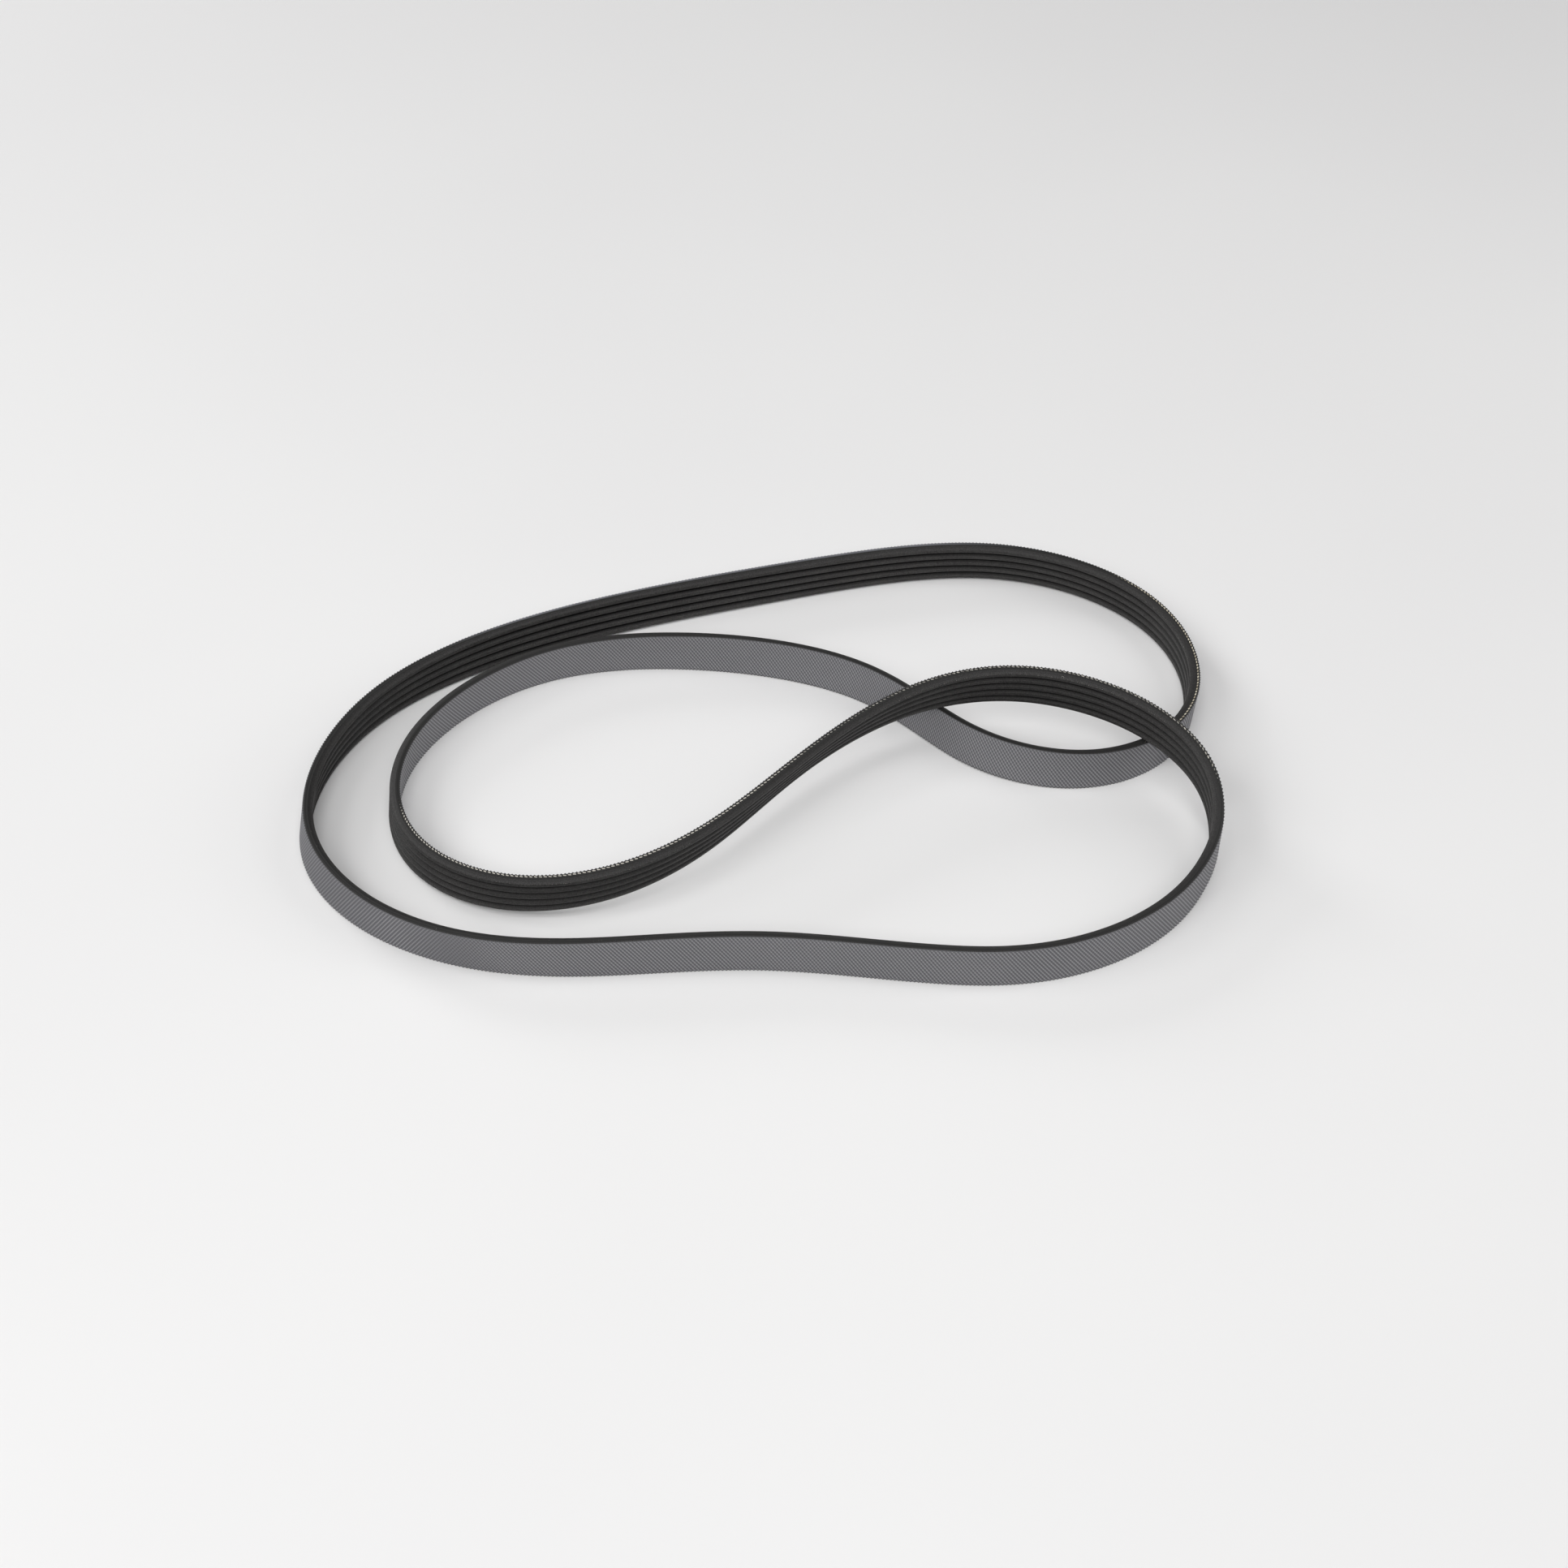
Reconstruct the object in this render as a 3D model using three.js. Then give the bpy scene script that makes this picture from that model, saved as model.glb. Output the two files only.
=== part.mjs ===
import * as THREE from "three";

// A multi-rib drive belt, off its pulleys and lying loose on its cut edge.
// Millimetres, +Z up. The surface it lies on is z = 0, under the middle of the loop.

// Belt
const ribCount = 5;
const ribPitch = 3.56;
const beltThickness = 4.2;
const beltLength = 1742;

// Ribs
const ribHeight = 2.2;
const flankAngle = 20;
const grooveFloor = 0.4;
const crestRise = 0.12;

// Where the belt crosses over itself, the upper strand rides clear of the lower one
const crossingGap = 0.3;

// How finely the loop is stepped: the longest straight step, the most turn in one step, the
// small even steps along which both are measured, and the passes that bring it to its length
const longestStep = 30;
const turnPerStep = 9;
const lengthSteps = 3000;
const scalePasses = 5;

const beltWidth = ribCount * ribPitch;
const rubberColour = 0x35373a;

// The loop as it lies, seen from above and followed anticlockwise with the ribs on the left.
// Each point pulls the belt's middle line towards it: x, y, the lift as a share of one belt
// width, and how many degrees the upper edge leans towards the ribs.
const frontRun = [
  [-139.5, -101, 0, -8],
  [-75, -108, 0, 0],
  [-5.5, -96.5, 0, 0],
  [84.5, -117, 0, 0],
  [141, -91, 0, 0],
];
const riseAtRight = [
  [162, -58, 0, -4],
  [168, -40.5, 0.33, 0],
  [164.5, -15.5, 0.86, 2],
];
const upperStrand = [
  [138, 14, 1.12, 2],
  [92, 31.5, 1.15, 4],
  [45.5, 20.5, 1.02, 18],
  [5.5, -13.5, 0.8, 27],
  [-24, -49, 0.54, 17],
  [-60, -73.5, 0.29, 12],
  [-107.5, -79, 0.1, 5],
];
const innerLoop = [
  [-152, -49, 0, -4],
  [-157.5, 14, 0, -10],
  [-105, 72, 0, -8],
  [-27.5, 76.5, 0, 3],
  [38.5, 57.5, 0, 5],
];
const lowerStrand = [
  [70, 11.5, 0, 10],
  [113.5, -5.5, 0, 3],
  [152.5, 7.5, 0, -7],
  [172.5, 45, 0, -5],
];
const backRun = [
  [160.5, 104.5, 0, 2],
  [92, 145, 0, 7],
  [-2.5, 119.5, 0, -3],
  [-109, 87, 0, -10],
];
const leftTurn = [
  [-178.5, 36.5, 0, 8],
  [-195.5, -48.5, 0, 14],
];
const pullPoints = [
  ...frontRun, ...riseAtRight, ...upperStrand, ...innerLoop, ...lowerStrand, ...backRun, ...leftTurn,
];

// Cubic B-spline through the ring of pull points, t from 0 to 1 once round the loop
function blendPullPoints(t) {
  const place = t * pullPoints.length;
  const first = Math.floor(place);
  const f = place - first;
  const weights = [
    (1 - f) ** 3 / 6,
    (3 * f ** 3 - 6 * f ** 2 + 4) / 6,
    (-3 * f ** 3 + 3 * f ** 2 + 3 * f + 1) / 6,
    f ** 3 / 6,
  ];
  const blended = [0, 0, 0, 0];
  weights.forEach((weight, offset) => {
    const pull = pullPoints[(first + offset - 1 + pullPoints.length) % pullPoints.length];
    pull.forEach((value, column) => {
      blended[column] += weight * value;
    });
  });
  return blended;
}

// Half the height that the section takes up when it leans: its lower edge then touches z = 0
function halfHeight(lean) {
  return (beltWidth * Math.cos(lean) + beltThickness * Math.abs(Math.sin(lean))) / 2;
}

// The belt's middle line, with the plan scaled so that the line is as long as the belt
class BeltRoute extends THREE.Curve {
  constructor(planScale) {
    super();
    this.planScale = planScale;
  }

  getPoint(t, target = new THREE.Vector3()) {
    const [x, y, lift, leanDegrees] = blendPullPoints(t);
    const rise = lift * (beltWidth + crossingGap);
    const height = halfHeight(THREE.MathUtils.degToRad(leanDegrees)) + rise;
    return target.set(x * this.planScale, y * this.planScale, height);
  }
}

// The lift doesn't grow with the plan, so the scale is reached in a few passes
function fitRoute() {
  let fitted = new BeltRoute(1);
  for (let pass = 0; pass < scalePasses; pass += 1) {
    fitted.arcLengthDivisions = lengthSteps;
    fitted = new BeltRoute((fitted.planScale * beltLength) / fitted.getLength());
  }
  return fitted;
}

const route = fitRoute();

// Where the section stands at t, which way the belt runs, and the two directions of its section
function sectionFrame(t) {
  const nearby = 0.5 / lengthSteps;
  const before = route.getPoint((t - nearby + 1) % 1);
  const after = route.getPoint((t + nearby) % 1);
  const along = after.sub(before).normalize();
  const up = new THREE.Vector3(0, 0, 1);
  const acrossBelt = up.addScaledVector(along, -up.dot(along)).normalize();
  const lean = THREE.MathUtils.degToRad(blendPullPoints(t)[3]);
  acrossBelt.applyAxisAngle(along, -lean);
  const towardsRibs = new THREE.Vector3().crossVectors(acrossBelt, along);
  return { centre: route.getPoint(t), along, acrossBelt, towardsRibs };
}

// Steps round the loop, close together where the belt bends or twists and long where it is straight
function stepPlaces() {
  const turnLimit = THREE.MathUtils.degToRad(turnPerStep);
  const effort = [0];
  let last = sectionFrame(0);
  for (let step = 1; step <= lengthSteps; step += 1) {
    const next = sectionFrame((step % lengthSteps) / lengthSteps);
    const turn = last.along.angleTo(next.along) + last.acrossBelt.angleTo(next.acrossBelt);
    const run = last.centre.distanceTo(next.centre);
    effort.push(effort[step - 1] + run / longestStep + turn / turnLimit);
    last = next;
  }
  const stepCount = Math.ceil(effort[lengthSteps]);
  const places = [];
  let index = 0;
  for (let step = 0; step < stepCount; step += 1) {
    const wanted = (step / stepCount) * effort[lengthSteps];
    while (effort[index + 1] <= wanted) {
      index += 1;
    }
    const share = (wanted - effort[index]) / (effort[index + 1] - effort[index]);
    places.push((index + share) / lengthSteps);
  }
  return places;
}

// The ribbed section: x runs across the belt, y from its plain back towards the ribs
function beltSection() {
  const back = -beltThickness / 2;
  const crest = beltThickness / 2;
  const floor = crest - ribHeight;
  const flankRun = ribHeight * Math.tan(THREE.MathUtils.degToRad(flankAngle));
  const section = new THREE.Shape();
  section.moveTo(-beltWidth / 2, back);
  section.lineTo(beltWidth / 2, back);
  section.lineTo(beltWidth / 2, floor);
  for (let rib = ribCount - 1; rib >= 0; rib -= 1) {
    const middle = (rib - (ribCount - 1) / 2) * ribPitch;
    const rootHalf = (ribPitch - grooveFloor) / 2;
    const crestHalf = rootHalf - flankRun;
    section.lineTo(middle + rootHalf, floor);
    section.lineTo(middle + crestHalf, crest - crestRise);
    section.lineTo(middle, crest);
    section.lineTo(middle - crestHalf, crest - crestRise);
    section.lineTo(middle - rootHalf, floor);
  }
  section.lineTo(-beltWidth / 2, floor);
  return section.extractPoints().shape;
}

// The section carried once round the route and joined to its own start
function sweepBelt() {
  const outline = beltSection();
  const places = stepPlaces();
  const positions = [];
  places.forEach((t) => {
    const { centre, acrossBelt, towardsRibs } = sectionFrame(t);
    outline.forEach((corner) => {
      const point = centre.clone();
      point.addScaledVector(acrossBelt, corner.x);
      point.addScaledVector(towardsRibs, corner.y);
      positions.push(point.x, point.y, point.z);
    });
  });
  const faces = [];
  for (let step = 0; step < places.length; step += 1) {
    const here = step * outline.length;
    const next = ((step + 1) % places.length) * outline.length;
    for (let corner = 0; corner < outline.length; corner += 1) {
      const beside = (corner + 1) % outline.length;
      faces.push(here + corner, next + beside, here + beside);
      faces.push(here + corner, next + corner, next + beside);
    }
  }
  const geometry = new THREE.BufferGeometry();
  geometry.setAttribute("position", new THREE.Float32BufferAttribute(positions, 3));
  geometry.setIndex(faces);
  geometry.computeVertexNormals();
  return geometry;
}

// The loop is moved so that the origin lies under the middle of its outline
function centreOverOrigin(geometry) {
  geometry.computeBoundingBox();
  const middle = geometry.boundingBox.getCenter(new THREE.Vector3());
  geometry.translate(-middle.x, -middle.y, 0);
  return geometry;
}

const rubber = new THREE.MeshStandardMaterial({
  color: rubberColour,
  roughness: 0.85,
  metalness: 0,
  flatShading: true,
});
const belt = new THREE.Mesh(centreOverOrigin(sweepBelt()), rubber);
belt.name = "ribbed_belt";

const driveBelt = new THREE.Group();
driveBelt.add(belt);

export default driveBelt;
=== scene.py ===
import math
import random

import bpy
import numpy as np
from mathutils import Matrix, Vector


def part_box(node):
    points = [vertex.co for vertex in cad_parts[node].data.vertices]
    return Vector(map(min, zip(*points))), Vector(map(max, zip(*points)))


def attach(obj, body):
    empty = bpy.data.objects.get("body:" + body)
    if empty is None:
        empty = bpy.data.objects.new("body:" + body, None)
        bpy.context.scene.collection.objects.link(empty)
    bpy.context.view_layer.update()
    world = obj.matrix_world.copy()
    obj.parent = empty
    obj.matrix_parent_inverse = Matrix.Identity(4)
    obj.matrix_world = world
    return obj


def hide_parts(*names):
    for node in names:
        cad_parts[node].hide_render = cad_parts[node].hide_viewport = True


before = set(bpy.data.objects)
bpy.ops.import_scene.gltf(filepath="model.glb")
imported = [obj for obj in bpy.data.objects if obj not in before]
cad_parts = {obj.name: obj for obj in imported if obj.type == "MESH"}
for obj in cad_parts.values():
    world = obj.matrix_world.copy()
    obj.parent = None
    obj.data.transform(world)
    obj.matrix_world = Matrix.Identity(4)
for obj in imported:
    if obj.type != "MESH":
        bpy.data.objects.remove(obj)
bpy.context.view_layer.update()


# Ribbed body
# The belt is one endless moulding of black rubber filled with short fibres. Its five ribs are
# ground to shape along the whole loop, and the sleeve it is made as is then slit into belts, which
# leaves a plain cut edge on each side. Here it lies on its lower edge in a loose curl.

mm = 0.001
rib_count = 5
rib_pitch = 3.56
belt_thickness = 4.2
belt_length = 1742
belt_width = rib_count * rib_pitch
crossing_gap = 0.3

# The loop as it lies, seen from above and followed anticlockwise with the ribs on the left. Each
# point pulls the middle line towards it: x, y, the lift as a share of one belt width, and how many
# degrees the upper edge leans towards the ribs.
front_run = [
    (-139.5, -101, 0, -8),
    (-75, -108, 0, 0),
    (-5.5, -96.5, 0, 0),
    (84.5, -117, 0, 0),
    (141, -91, 0, 0),
]
rise_at_right = [
    (162, -58, 0, -4),
    (168, -40.5, 0.33, 0),
    (164.5, -15.5, 0.86, 2),
]
upper_strand = [
    (138, 14, 1.12, 2),
    (92, 31.5, 1.15, 4),
    (45.5, 20.5, 1.02, 18),
    (5.5, -13.5, 0.8, 27),
    (-24, -49, 0.54, 17),
    (-60, -73.5, 0.29, 12),
    (-107.5, -79, 0.1, 5),
]
inner_loop = [
    (-152, -49, 0, -4),
    (-157.5, 14, 0, -10),
    (-105, 72, 0, -8),
    (-27.5, 76.5, 0, 3),
    (38.5, 57.5, 0, 5),
]
lower_strand = [
    (70, 11.5, 0, 10),
    (113.5, -5.5, 0, 3),
    (152.5, 7.5, 0, -7),
    (172.5, 45, 0, -5),
]
back_run = [
    (160.5, 104.5, 0, 2),
    (92, 145, 0, 7),
    (-2.5, 119.5, 0, -3),
    (-109, 87, 0, -10),
]
left_turn = [
    (-178.5, 36.5, 0, 8),
    (-195.5, -48.5, 0, 14),
]
pull_points = np.array(
    front_run + rise_at_right + upper_strand + inner_loop + lower_strand + back_run + left_turn,
    dtype=float,
)


def blend_pull_points(t):
    """Cubic B-spline through the ring of pull points, t from 0 to 1 once round the loop."""
    place = (t % 1) * len(pull_points)
    first = np.floor(place).astype(int)
    f = place - first
    weights = [
        (1 - f) ** 3 / 6,
        (3 * f**3 - 6 * f**2 + 4) / 6,
        (-3 * f**3 + 3 * f**2 + 3 * f + 1) / 6,
        f**3 / 6,
    ]
    blended = np.zeros((len(t), 4))
    for offset, weight in enumerate(weights):
        blended += weight[:, None] * pull_points[(first + offset - 1) % len(pull_points)]
    return blended


def middle_line(t, plan_scale):
    """The belt's middle, lifted so that its leaning lower edge touches z = 0 where it isn't raised."""
    x, y, lift, lean_degrees = blend_pull_points(t).T
    lean = np.radians(lean_degrees)
    half_height = (belt_width * np.cos(lean) + belt_thickness * np.abs(np.sin(lean))) / 2
    height = half_height + lift * (belt_width + crossing_gap)
    return np.column_stack([x * plan_scale, y * plan_scale, height])


length_steps = 6000


def length_table(plan_scale):
    """Length from the start to each even step of t."""
    steps = np.linspace(0, 1, length_steps + 1)
    runs = np.linalg.norm(np.diff(middle_line(steps, plan_scale), axis=0), axis=1)
    return steps, np.concatenate([[0], np.cumsum(runs)])


scale_passes = 5
drawn_scale = 1
for _ in range(scale_passes):
    drawn_scale *= belt_length / length_table(drawn_scale)[1][-1]
route_steps, route_lengths = length_table(drawn_scale)
route_length = route_lengths[-1]


def unit(vectors):
    return vectors / np.linalg.norm(vectors, axis=-1, keepdims=True)


def stand_on_route(places):
    """Points in space, in millimetres, for places given as length along, across and towards the ribs."""
    along_belt, across_belt, towards_ribs = np.asarray(places, dtype=float).T
    t = np.interp(along_belt % route_length, route_lengths, route_steps)
    nearby = 1 / length_steps
    along = unit(middle_line(t + nearby, drawn_scale) - middle_line(t - nearby, drawn_scale))
    upright = unit(np.array([0, 0, 1]) - along * along[:, 2:])
    lean = np.radians(blend_pull_points(t)[:, 3:])
    across = upright * np.cos(lean) - np.cross(along, upright) * np.sin(lean)
    ribwards = np.cross(across, along)
    centre = middle_line(t, drawn_scale)
    return centre + across * across_belt[:, None] + ribwards * towards_ribs[:, None]


def round_corner(before, corner, after, radius, points):
    """The arc that rounds a corner of an outline."""
    into = unit(before - corner)
    out = unit(after - corner)
    half = math.acos(into @ out) / 2
    centre = corner + unit(into + out) * radius / math.sin(half)
    reach = radius / math.tan(half)
    start = corner + into * reach - centre
    end = corner + out * reach - centre
    turn = math.pi - 2 * half
    arc = []
    for f in np.linspace(0, 1, points):
        swung = start * math.sin((1 - f) * turn) + end * math.sin(f * turn)
        arc.append(centre + swung / math.sin(turn))
    return arc


rib_height = 2.2
flank_angle = math.radians(20)
groove_floor = 0.4
crest_rise = 0.12
backing_depth = 0.3
edge_round = 0.3
root_round = 0.24
crest_round = 0.3
arc_points = 5
root_half = (rib_pitch - groove_floor) / 2
crest_half = root_half - rib_height * math.tan(flank_angle)
rib_middles = [(rib - (rib_count - 1) / 2) * rib_pitch for rib in range(rib_count)]


def body_outline():
    """The ribbed section as (across, towards the ribs), from its back and anticlockwise."""
    back = backing_depth - belt_thickness / 2
    crest = belt_thickness / 2
    floor = crest - rib_height
    side = belt_width / 2
    corners = [(-side, back, edge_round), (side, back, edge_round), (side, floor, 0)]
    for middle in reversed(rib_middles):
        corners += [
            (middle + root_half, floor, root_round),
            (middle + crest_half, crest - crest_rise, crest_round),
            (middle, crest, 0),
            (middle - crest_half, crest - crest_rise, crest_round),
            (middle - root_half, floor, root_round),
        ]
    corners.append((-side, floor, 0))
    points = np.array([corner[:2] for corner in corners])
    outline = []
    for index, (x, y, radius) in enumerate(corners):
        if radius:
            after = points[(index + 1) % len(points)]
            outline += round_corner(points[index - 1], points[index], after, radius, arc_points)
        else:
            outline.append(points[index])
    return np.array(outline)


def belt_mesh(name, unrolled, ring_size, faces):
    """A mesh closed round the loop: the last ring of the unrolled places is the first one again.

    Each face corner keeps its place on the belt, which the finishes read as belt_place.
    """
    point_count = len(unrolled) - ring_size
    corners = np.concatenate([np.ravel(group) for group in faces])
    rings = []
    for group in faces:
        rings += (np.asarray(group) % point_count).tolist()
    positions = (stand_on_route(unrolled[:point_count]) + belt_shift) * mm
    mesh = bpy.data.meshes.new(name)
    mesh.from_pydata(positions.tolist(), [], rings)
    place = mesh.attributes.new("belt_place", "FLOAT_VECTOR", "CORNER")
    place.data.foreach_set("vector", unrolled[corners].astype(np.float32).ravel())
    mesh.shade_smooth()
    piece = bpy.data.objects.new(name, mesh)
    bpy.context.scene.collection.objects.link(piece)
    return piece


def ring_faces(ring_count, ring_size):
    """The four-sided faces between each ring of points and the next."""
    starts = np.arange(ring_count)[:, None] * ring_size
    here = starts + np.arange(ring_size)
    beside = starts + (np.arange(ring_size) + 1) % ring_size
    return np.stack([here, here + ring_size, beside + ring_size, beside], axis=-1).reshape(-1, 4)


def sweep(name, outline, ring_count):
    """An outline carried once round the loop."""
    size = len(outline)
    along = np.repeat(np.arange(ring_count + 1) * route_length / ring_count, size)
    unrolled = np.column_stack([along, np.tile(outline, (ring_count + 1, 1))])
    return belt_mesh(name, unrolled, size, [ring_faces(ring_count, size)])


body_rings = 620
box_steps = 3000
body_sharp_angle = math.radians(40)
section = body_outline()

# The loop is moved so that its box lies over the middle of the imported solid's box
solid_low, solid_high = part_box("ribbed_belt")
box_lengths = np.linspace(0, route_length, box_steps)
cut_edges = (-belt_width / 2, belt_width / 2)
back_and_crest = (-belt_thickness / 2, belt_thickness / 2)
loop_points = stand_on_route([(s, x, y) for s in box_lengths for x in cut_edges for y in back_and_crest])
loop_middle = (loop_points.min(axis=0) + loop_points.max(axis=0)) / 2
solid_middle = (np.array(solid_low) + np.array(solid_high)) / 2 / mm
belt_shift = (solid_middle - loop_middle) * (1, 1, 0)

body = sweep("belt_rubber", section, body_rings)
body.data.set_sharp_from_angle(angle=body_sharp_angle)


class Signal:
    """A socket of a finish's nodes. Arithmetic on it adds Math nodes."""

    def __init__(self, tree, socket):
        self.tree = tree
        self.socket = socket

    def node(self, kind, settings, inputs, output=0):
        """Any node: its settings are set first, then the values or links of its sockets."""
        made = self.tree.nodes.new(kind)
        for name, value in settings.items():
            setattr(made, name, value)
        for name, value in inputs.items():
            if isinstance(value, Signal):
                self.tree.links.new(value.socket, made.inputs[name])
            else:
                made.inputs[name].default_value = value
        return Signal(self.tree, made.outputs[output])

    def math(self, operation, *values):
        return self.node("ShaderNodeMath", {"operation": operation}, dict(enumerate(values)))

    def __add__(self, other):
        return self.math("ADD", self, other)

    def __sub__(self, other):
        return self.math("SUBTRACT", self, other)

    def __rsub__(self, other):
        return self.math("SUBTRACT", other, self)

    def __mul__(self, other):
        return self.math("MULTIPLY", self, other)

    __radd__ = __add__
    __rmul__ = __mul__

    def part(self, index):
        """One of the three parts of a vector."""
        return self.node("ShaderNodeSeparateXYZ", {}, {0: self}, index)

    def rise(self, start, end):
        """0 below start and 1 above end, with a soft step between; start may be the higher one."""
        return self.node(
            "ShaderNodeMapRange",
            {"interpolation_type": "SMOOTHSTEP"},
            {"Value": self, "From Min": start, "From Max": end},
        )

    def bell(self, middle, half_width):
        """1 at the middle, falling to 0 at half a width on each side."""
        return self.math("ABSOLUTE", self - middle).rise(half_width, 0)

    def blend(self, low, high):
        """A colour between two others, with this signal as the share of the second."""
        return self.node("ShaderNodeMix", {"data_type": "RGBA"}, {0: self, 6: low, 7: high}, 2)

    def stretched(self, x, y, z):
        return self.node("ShaderNodeVectorMath", {"operation": "MULTIPLY"}, {0: self, 1: (x, y, z)})

    def noise(self, scale, detail=2):
        return self.node("ShaderNodeTexNoise", {}, {"Vector": self, "Scale": scale, "Detail": detail})

    def bump(self, height, strength):
        """Surface direction roughened by a height in millimetres."""
        return self.node("ShaderNodeBump", {}, {"Height": height, "Strength": strength, "Distance": mm})


def new_finish(name, roughness):
    """A material, its shader, the place on the belt and the position in space."""
    material = bpy.data.materials.new(name)
    material.use_nodes = True
    tree = material.node_tree
    shader = tree.nodes["Principled BSDF"]
    shader.inputs["Roughness"].default_value = roughness
    start = Signal(tree, None)
    place = start.node("ShaderNodeAttribute", {"attribute_name": "belt_place"}, {}, 1)
    space = start.node("ShaderNodeTexCoord", {}, {}, 3)
    return material, shader, place, space


def feed(shader, **signals):
    """Links signals to the shader's sockets, Base_Color to Base Color and so on."""
    for name, signal in signals.items():
        signal.tree.links.new(signal.socket, shader.inputs[name.replace("_", " ")])


# The first colour is painted shade, laid into the grooves between the ribs. The last number is how much of
# the rib colour the two outermost flanks keep, as they get less of that painted shade.
groove_shade_colour = (0.0045, 0.0043, 0.0043, 1)
rubber_face = (0.025, 0.0238, 0.0234, 1)
rubber_fibre = (0.047, 0.0452, 0.0445, 1)
rubber_worn = (0.062, 0.06, 0.058, 1)
cut_edge_soft = (0.026, 0.0255, 0.0248, 1)
cut_edge_line = (0.013, 0.0127, 0.0124, 1)
cut_edge_pale = (0.15, 0.153, 0.168, 1)
outer_flank_unshaded_share = 0.68

# Where the rubber changes, in millimetres from the belt's middle to its edges, towards the ribs and
# along it. A pair says where a change begins and ends. The line over the cord and the pale stretch
# are given by their middle and half their width.
outer_flank_starts = (7.85, 8.0)
cut_edge_starts = (8.72, 8.86)
pale_rim_starts = (8.5, 8.65)
pale_rim_depth = (-0.2, -0.85)
cord_line = (-0.95, 0.35)
groove_shade_ends = (0.15, 1.3)
crest_starts = (1.85, 2.02)
pale_stretch = (1425, 150)

rubber, shader, place, space = new_finish("ribbed_rubber", 0.62)
along, across, depth = [place.part(index) for index in range(3)]
streaks = place.stretched(0.02, 1, 1).noise(3.2, 3)
grain = space.noise(2200, 3)
blotches = space.noise(70, 3)
off_middle = across.math("ABSOLUTE", across)
# Painted shade: the rib colour darkens down into each groove, and on the two outermost flanks only partly.
outer_flank_less_shade = off_middle.rise(*outer_flank_starts) * outer_flank_unshaded_share
out_of_groove_shade = depth.math("MAXIMUM", depth.rise(*groove_shade_ends), outer_flank_less_shade)
crest_face = depth.rise(*crest_starts)
on_cut_edge = off_middle.rise(*cut_edge_starts)
tone = grain * 0.5 + streaks * 0.3 + blotches * 0.2
worn = crest_face * tone.rise(0.4, 0.66)
rib_colour = grain.rise(0.36, 0.68).blend(rubber_face, rubber_fibre)
rib_colour = out_of_groove_shade.blend(groove_shade_colour, rib_colour)
rib_colour = worn.blend(rib_colour, rubber_worn)
edge_colour = depth.bell(*cord_line).blend(cut_edge_soft, cut_edge_line)
near_fabric = depth.rise(*pale_rim_depth) * off_middle.rise(*pale_rim_starts)
pale_rim = near_fabric * along.bell(*pale_stretch).rise(0, 0.4)
feed(
    shader,
    Base_Color=pale_rim.blend(on_cut_edge.blend(rib_colour, edge_colour), cut_edge_pale),
    Normal=place.bump(grain * 0.06 + streaks * 0.05, 0.8),
)
shader.inputs["Specular IOR Level"].default_value = 0.3
body.data.materials.append(rubber)
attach(body, "root")
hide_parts("ribbed_belt")


# Woven backing
# The plain back is covered by a rubberised fabric, moulded on with the belt. Its threads slant both
# ways, and those that fall in the direction of travel lie on top. Round the left turn the rising ones
# are raised in the bump instead and painted brighter, as painted light raking across them from the
# left. The slit through the sleeve leaves a tooth of cut thread at every crossing.

weave_run_wanted = 1.46
weave_rise = 2.07
weave_rows = 16
pit_sink = 0.3
rising_sink = 0.19
falling_sink = 0.04
tooth_sink = 0.02
gap_sink = 0.3
border_width = 0.4
tooth_depth = 0.36
backing_overlap = 0.1
edge_columns = 3
thread_sharp_angle = math.radians(60)
weave_run = route_length / round(route_length / weave_run_wanted)


def backing_mesh():
    """The fabric as a closed sheet, with a point at every crossing, every pit and between them."""
    ring_count = 2 * round(route_length / weave_run)
    outer = -belt_thickness / 2
    under = backing_depth + backing_overlap + outer
    half = belt_width / 2
    border = half - border_width
    row_places = (np.arange(weave_rows + 1) - weave_rows / 2) * weave_rise / 2
    centres = (row_places[1:] + row_places[:-1]) / 2
    step = weave_run / 2
    rings = []
    for ring in range(ring_count + 1):
        s = ring * step
        tooth = half - tooth_depth * (ring % 2)
        edge = outer + (gap_sink if ring % 2 else tooth_sink)
        ring_places = [(s, -tooth, under), (s, -tooth, edge), (s, -border, edge)]
        for row, x in enumerate(row_places):
            pit = (ring + row) % 2
            ring_places.append((s, x, outer + pit * pit_sink))
        ring_places += [(s, border, edge), (s, tooth, edge), (s, tooth, under)]
        for row, x in enumerate(centres):
            falling_here = (ring + row) % 2
            sink = falling_sink if falling_here else rising_sink
            ring_places.append((s + step / 2, x, outer + sink))
        rings += ring_places
    columns = weave_rows + 1 + 2 * edge_columns
    size = columns + weave_rows
    starts = np.arange(ring_count)[:, None] * size
    woven = range(edge_columns, edge_columns + weave_rows)
    plain = np.array([column for column in range(columns) if column not in woven])
    here = starts + plain
    beside = starts + (plain + 1) % columns
    quads = np.stack([here, here + size, beside + size, beside], axis=-1).reshape(-1, 4)
    corner = starts + np.array(woven)
    centre = starts + columns + np.arange(weave_rows)
    around = [corner, corner + size, corner + size + 1, corner + 1]
    triangles = []
    for side in range(4):
        triangle = np.stack([around[side], around[(side + 1) % 4], centre], axis=-1)
        triangles.append(triangle.reshape(-1, 3))
    return belt_mesh("backing_fabric", np.array(rings), size, [quads, *triangles])


backing = backing_mesh()
backing.data.set_sharp_from_angle(angle=thread_sharp_angle)

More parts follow.
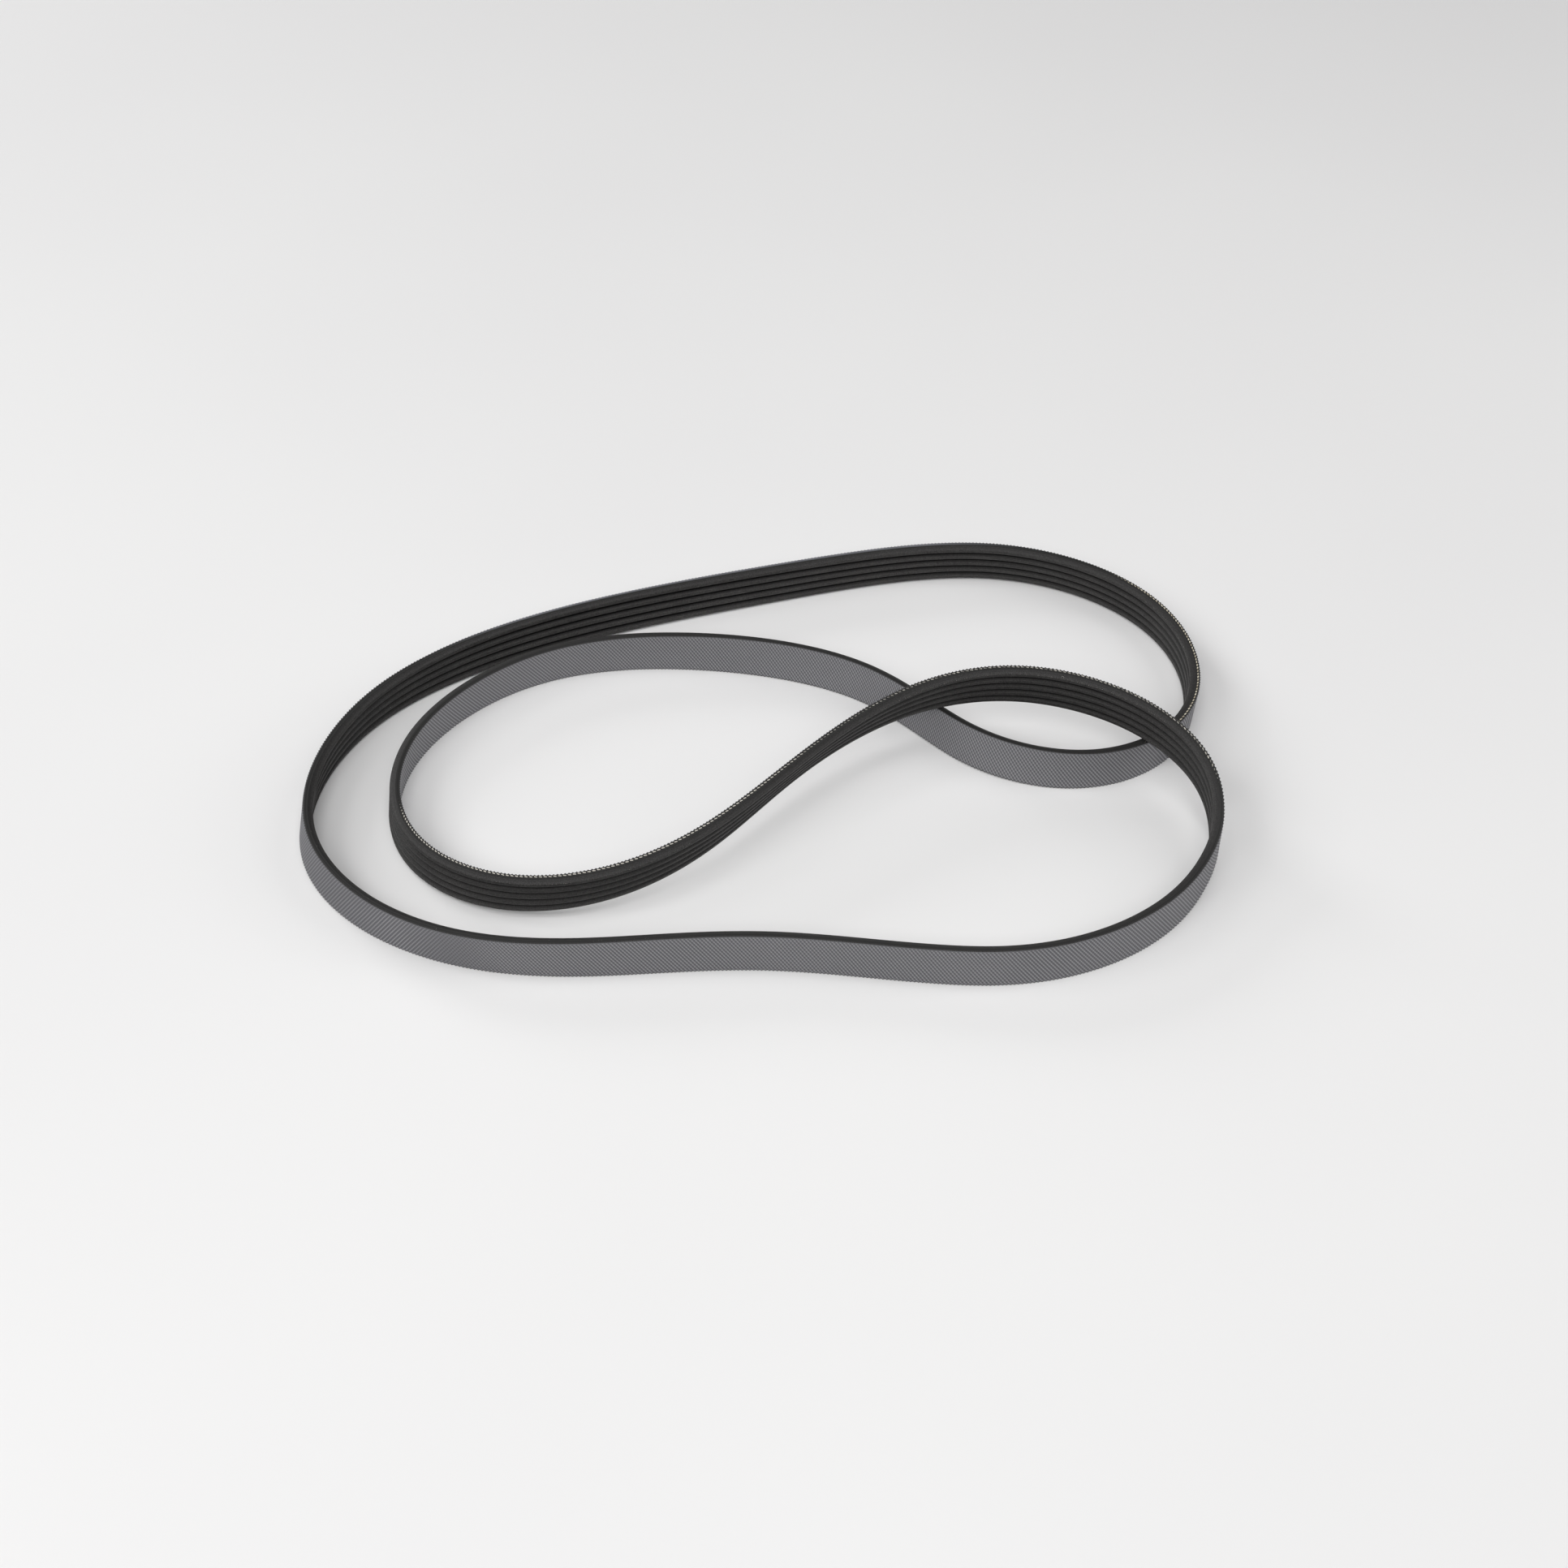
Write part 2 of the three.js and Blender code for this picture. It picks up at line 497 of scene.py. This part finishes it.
fabric_pit = (0.1, 0.1, 0.11, 1)
fabric_body = (0.186, 0.185, 0.196, 1)
fabric_float = (0.365, 0.362, 0.376, 1)
fabric_border = (0.16, 0.16, 0.168, 1)
fabric_end = (0.02, 0.018, 0.017, 1)
fabric_end_pale = (0.13, 0.134, 0.15, 1)

# Where the fabric changes, in millimetres from the belt's middle and along the belt
weave_ends = (8.44, 8.3)
cut_end_starts = (8.68, 8.86)
left_turn_from = (1540, 1600)
left_turn_until = (40, 5)

# Heights of the two families of threads as shares, what the left turn changes in them, and how
# much the falling threads bulge where they cross the others
falling_normal = 0.78
falling_loss = 0.38
rising_normal = 0.34
rising_gain = 0.42
rising_unevenness = 0.2
crossing_bump = 0.22

fabric, shader, place, space = new_finish("woven_backing", 0.7)
along, across = [place.part(index) for index in range(2)]
off_middle = across.math("ABSOLUTE", across)
rising = along * (1 / weave_run) - across * (1 / weave_rise)
falling = along * (1 / weave_run) + across * (1 / weave_rise)


def thread_profile(crossings):
    """1 on a thread's middle line and 0 half-way to the next."""
    return crossings.math("COSINE", crossings * (2 * math.pi)) * 0.5 + 0.5


rising_thread = thread_profile(rising)
falling_thread = thread_profile(falling)
evenness = space.noise(16, 2).rise(0.38, 0.62)
# Round the left turn the rising threads are raised in the bump and painted brighter, which is painted
# light raking across them from the left.
left_turn_start = along.rise(*left_turn_from)
left_turn_end = along.rise(*left_turn_until)
rising_on_top_and_lit = along.math("MAXIMUM", left_turn_start, left_turn_end)
falling_height = falling_normal - rising_on_top_and_lit * falling_loss
rising_height = evenness * rising_unevenness + rising_normal + rising_on_top_and_lit * rising_gain
over = falling_thread * (rising_thread * crossing_bump + falling_height)
below = rising_thread * rising_height
top_thread = over.math("MAXIMUM", over, below)
fibres = space.noise(4200, 2)
tone = top_thread + fibres * 0.3 - 0.15
in_weave = off_middle.rise(*weave_ends)
weave_colour = tone.rise(0, 0.6).blend(fabric_pit, fabric_body)
weave_colour = tone.rise(0.55, 1.02).blend(weave_colour, fabric_float)
at_cut = off_middle.rise(*cut_end_starts)
end_colour = along.bell(*pale_stretch).rise(0, 0.4).blend(fabric_end, fabric_end_pale)
edge_colour = at_cut.blend(fabric_border, end_colour)
feed(
    shader,
    Base_Color=in_weave.blend(edge_colour, weave_colour),
    Normal=place.bump(top_thread * in_weave * 0.16 + fibres * 0.03, 0.8),
)
backing.data.materials.append(fabric)
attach(backing, "root")
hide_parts("ribbed_belt")


# Tension cord
# Twisted polyester cord is wound round the belt just under the fabric and takes the pull. It runs
# slightly slanted, so the slit lays it open along parts of the upper edge, as cream or grey beads.

bead_pitch = 1.83
cord_radius = 0.34
cord_lobe = 0.26
cord_depth = 1.05 - belt_thickness / 2
cord_sides = 10
rings_per_bead = 6
proudest = 0.2
most_sunk = -0.22

# How far the cord shows, 0 to 1, at lengths along the belt: first along the whole upper strand,
# then most of all round the right end, where the lower strand turns into the back run
cord_shows = [
    (335, 0),
    (365, 0.95),
    (420, 0.92),
    (450, 0.85),
    (530, 0.72),
    (570, 0.9),
    (735, 0.95),
    (770, 0),
    (1115, 0),
    (1140, 1),
    (1235, 1),
    (1285, 0),
]

# An even number of beads, so that the two plies meet their own start
beads = 2 * round(route_length / bead_pitch / 2)
bead_run = route_length / beads


def cord_mesh():
    """A two-ply cord: a section with two lobes that turns half-way round from bead to bead."""
    ring_count = beads * rings_per_bead
    ring = np.repeat(np.arange(ring_count + 1), cord_sides)
    side = np.tile(np.arange(cord_sides), ring_count + 1)
    s = ring * route_length / ring_count
    angle = 2 * math.pi * side / cord_sides
    lobes = 2 * angle + 2 * math.pi * ring / rings_per_bead
    radius = cord_radius * (1 + cord_lobe * np.cos(lobes))
    lengths, shares = zip(*cord_shows)
    shown = np.interp(s, lengths, shares)
    top = belt_width / 2 + most_sunk + (proudest - most_sunk) * shown
    x = top - cord_radius * (1 + cord_lobe) + radius * np.cos(angle)
    y = cord_depth + radius * np.sin(angle)
    faces = ring_faces(ring_count, cord_sides)
    return belt_mesh("tension_cord", np.column_stack([s, x, y]), cord_sides, [faces])


cord = cord_mesh()

cord_rubbered = (0.02, 0.0185, 0.017, 1)
cord_grey = (0.17, 0.163, 0.15, 1)
cord_white = (0.6, 0.57, 0.51, 1)
cord_tan = (0.4, 0.34, 0.25, 1)
cord_cream = (0.75, 0.7, 0.57, 1)

# The stretch where the cord is whiter, the one where it is cream, and how far out it is bare
whiter_stretch = (655, 135)
cream_stretch = (1200, 95)
bare_starts = (8.8, 8.9)

cord_finish, shader, place, space = new_finish("cut_cord", 0.75)
along, across = [place.part(index) for index in range(2)]
smeared = place.stretched(0.3, 0, 0).noise(1, 2)
filaments = space.noise(5200, 2)
# Along this stretch the cord beads are simply made whiter.
whiter_here = along.bell(*whiter_stretch).rise(0, 0.35)
clean = smeared.math("MAXIMUM", smeared.rise(0.38, 0.62), whiter_here)
bead = thread_profile(along * (1 / bead_run)).rise(0.1, 0.5)
open_here = (across + filaments * 0.08).rise(*bare_starts)
grey_strand = clean.blend(cord_grey, cord_white)
cream_strand = clean.blend(cord_tan, cord_cream)
strand = along.bell(*cream_stretch).rise(0, 0.3).blend(grey_strand, cream_strand)
cord_colour = (bead * open_here).blend(cord_rubbered, strand)
feed(shader, Base_Color=cord_colour, Normal=place.bump(filaments * 0.06, 0.8))
cord.data.materials.append(cord_finish)
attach(cord, "root")


# Dust and lint
# The belt has been handled: pale dust chips sit on its ribs and upper edge, a dotted line of lint has
# caught along the shoulder of the uppermost rib, and one short fibre has curled up beside it.

dust_seed = 11
dust_chips = 150
edge_chips = 26

# Stretches along the belt that hold chips or lint. One that lies inside another holds more chips.
dust_ranges = [(0, 500), (560, 760), (840, 1000), (1160, 1640)]
edge_ranges = [(0, 90), (690, 880), (1560, 1740), (1620, 1740)]
lint_ranges = [(385, 520), (610, 700), (1190, 1235)]

edge_chip_radius = (0.1, 0.17)
lint_step = 0.75
lint_radius = (0.06, 0.12)
lint_spread_along = 0.3
lint_spread_across = 0.12
lint_share = 0.7
chip_radius = (0.05, 0.12)
chip_sunk = 0.06
edge_chip_sunk = 0.05
edge_chip_depth = (-1.2, 0)
fibre_along = 432
fibre_off_crest = 1.1
fibre_depth = 1.5
fibre_radius = 0.05
fibre_curl = 0.55
fibre_turn = 1.25 * math.pi
fibre_rings = 12
fibre_sides = 5

draw = random.Random(dust_seed)


def chip(spot, radius):
    """A jagged flake as six points and eight faces."""
    points = []
    for axis in range(3):
        for sign in (-1, 1):
            point = np.array(spot, dtype=float)
            point[axis] += sign * radius * draw.uniform(0.5, 1.1)
            points.append(point)
    faces = [(a, b, c) for a in (0, 1) for b in (2, 3) for c in (4, 5)]
    outward = []
    for a, b, c in faces:
        mirrored = (a + b + c) % 2
        outward.append((c, b, a) if mirrored else (a, b, c))
    return points, outward


def curled_fibre():
    """A thin hooked hair that stands off the outer flank of the uppermost rib."""
    hook_centre = np.array([fibre_along, rib_middles[-1] + fibre_off_crest, fibre_depth])
    points = []
    for turn in np.linspace(0, fibre_turn, fibre_rings):
        radial = np.array([math.cos(turn), math.sin(turn), 0])
        middle = hook_centre + radial * fibre_curl
        for side in range(fibre_sides):
            angle = 2 * math.pi * side / fibre_sides
            offset = radial * math.cos(angle) + np.array([0, 0, 1]) * math.sin(angle)
            points.append(middle + offset * fibre_radius)
    faces = []
    for ring in range(fibre_rings - 1):
        here = ring * fibre_sides
        onward = here + fibre_sides
        for side in range(fibre_sides):
            beside = (side + 1) % fibre_sides
            faces.append((here + side, here + beside, onward + beside, onward + side))
    first_end = tuple(reversed(range(fibre_sides)))
    last_end = tuple(range(len(points) - fibre_sides, len(points)))
    faces += [first_end, last_end]
    return points, faces


def dust_mesh():
    points = []
    faces = []

    def add(new_points, new_faces):
        start = len(points)
        points.extend(new_points)
        faces.extend([tuple(start + corner for corner in face) for face in new_faces])

    for _ in range(dust_chips):
        low, high = draw.choice(dust_ranges)
        middle = draw.choice(rib_middles)
        x = middle + draw.uniform(-1, 1) * crest_half
        spot = (draw.uniform(low, high), x, belt_thickness / 2 - chip_sunk)
        add(*chip(spot, draw.uniform(*chip_radius)))
    for _ in range(edge_chips):
        low, high = draw.choice(edge_ranges)
        spot = (draw.uniform(low, high), belt_width / 2 - edge_chip_sunk, draw.uniform(*edge_chip_depth))
        add(*chip(spot, draw.uniform(*edge_chip_radius)))
    shoulder = rib_middles[-1] + crest_half
    for low, high in lint_ranges:
        for step in range(int((high - low) / lint_step)):
            if draw.random() < lint_share:
                s = low + step * lint_step + draw.uniform(-1, 1) * lint_spread_along
                x = shoulder + draw.uniform(-1, 1) * lint_spread_across
                spot = (s, x, belt_thickness / 2 - crest_rise)
                add(*chip(spot, draw.uniform(*lint_radius)))
    add(*curled_fibre())
    places = np.array(points)
    mesh = bpy.data.meshes.new("dust_and_lint")
    mesh.from_pydata(((stand_on_route(places) + belt_shift) * mm).tolist(), [], faces)
    piece = bpy.data.objects.new("dust_and_lint", mesh)
    bpy.context.scene.collection.objects.link(piece)
    return piece


dust = dust_mesh()

dust_grey = (0.3, 0.29, 0.27, 1)
dust_pale = (0.62, 0.6, 0.55, 1)

dust_finish, shader, _, space = new_finish("pale_dust", 0.9)
feed(shader, Base_Color=space.noise(600, 1).rise(0.4, 0.65).blend(dust_grey, dust_pale))
dust.data.materials.append(dust_finish)
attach(dust, "root")


# Floor
# A plain pale table top, wide enough to fill the view. Beyond the soft boxes, where their light ends,
# it glows by itself instead, so that a low view has no dark band behind the belt.

floor_half = 6
glow_begins_and_ends = (1.6, 3)
table_grey = (0.85, 0.845, 0.845, 1)
table_white = (0.87, 0.866, 0.864, 1)
no_glow = (0, 0, 0, 1)
table_glow = (0.74, 0.737, 0.737, 1)
floor_mesh = bpy.data.meshes.new("table_top")
floor_corners = [(-1, -1), (1, -1), (1, 1), (-1, 1)]
floor_mesh.from_pydata([(x * floor_half, y * floor_half, 0) for x, y in floor_corners], [], [(0, 1, 2, 3)])
floor = bpy.data.objects.new("table_top", floor_mesh)
bpy.context.scene.collection.objects.link(floor)
table, shader, _, space = new_finish("pale_table", 0.9)
cloudy = space.noise(2.5, 2)
from_middle = space.node("ShaderNodeVectorMath", {"operation": "LENGTH"}, {0: space}, 1)
feed(
    shader,
    Base_Color=cloudy.rise(0.3, 0.7).blend(table_grey, table_white),
    Emission_Color=from_middle.rise(*glow_begins_and_ends).blend(no_glow, table_glow),
)
shader.inputs["Emission Strength"].default_value = 1
shader.inputs["Specular IOR Level"].default_value = 0.1
floor.data.materials.append(table)


# Studio light and camera
# Seven soft boxes stand round the belt, so that the table is evenly lit and each run of the belt
# throws only a faint soft shadow, the clearest ones towards its right.

# The room gives little light, but shows as a pale background
room_light = 0.06
room_seen = 0.86
world = bpy.data.worlds.new("studio")
bpy.context.scene.world = world
world.use_nodes = True
world_tree = world.node_tree
start = Signal(world_tree, None)
lit_room = start.node("ShaderNodeBackground", {}, {"Color": (1, 1, 1, 1), "Strength": room_light})
seen_room = start.node("ShaderNodeBackground", {}, {"Color": (1, 1, 1, 1), "Strength": room_seen})
seen = start.node("ShaderNodeLightPath", {}, {}, 0)
room = start.node("ShaderNodeMixShader", {}, {0: seen, 1: lit_room, 2: seen_room})
world_tree.links.new(room.socket, world_tree.nodes["World Output"].inputs[0])

box_distance = 2.4


def soft_box(name, azimuth, elevation, size, power):
    """A square soft box that faces the middle of the belt, at degrees round it and above the table.

    Its size is in metres and its power in watts.
    """
    lamp = bpy.data.lights.new(name, "AREA")
    lamp.size = size
    lamp.energy = power
    holder = bpy.data.objects.new(name, lamp)
    around = math.radians(azimuth)
    above = math.radians(elevation)
    level = box_distance * math.cos(above)
    holder.location = (level * math.cos(around), level * math.sin(around), box_distance * math.sin(above))
    holder.rotation_euler = (math.pi / 2 - above, 0, around + math.pi / 2)
    holder.visible_camera = False
    bpy.context.scene.collection.objects.link(holder)


soft_box("front_box", 270, 48, 1.2, 18)
soft_box("front_left_box", 225, 46, 1.2, 12.5)
soft_box("left_box", 180, 44, 1.2, 10.5)
soft_box("right_box", 0, 48, 1.2, 8.5)
soft_box("low_right_box", 0, 22, 0.8, 8)
soft_box("back_box", 135, 22, 0.8, 15)
soft_box("top_box", 270, 85, 1.2, 12)

view_elevation = math.radians(42)
view_distance = 1098
looked_at = (9.8, -12.85)
sensor_width = 36
picture_pixels = 1932
focal_pixels = 3395
camera_data = bpy.data.cameras.new("camera")
camera_data.sensor_width = sensor_width
camera_data.lens = sensor_width * focal_pixels / picture_pixels
camera = bpy.data.objects.new("camera", camera_data)
camera.location = (
    looked_at[0] * mm,
    (looked_at[1] - view_distance * math.cos(view_elevation)) * mm,
    view_distance * math.sin(view_elevation) * mm,
)
camera.rotation_euler = (math.pi / 2 - view_elevation, 0, 0)
bpy.context.scene.collection.objects.link(camera)
bpy.context.scene.camera = camera
bpy.context.scene.view_settings.view_transform = "Standard"
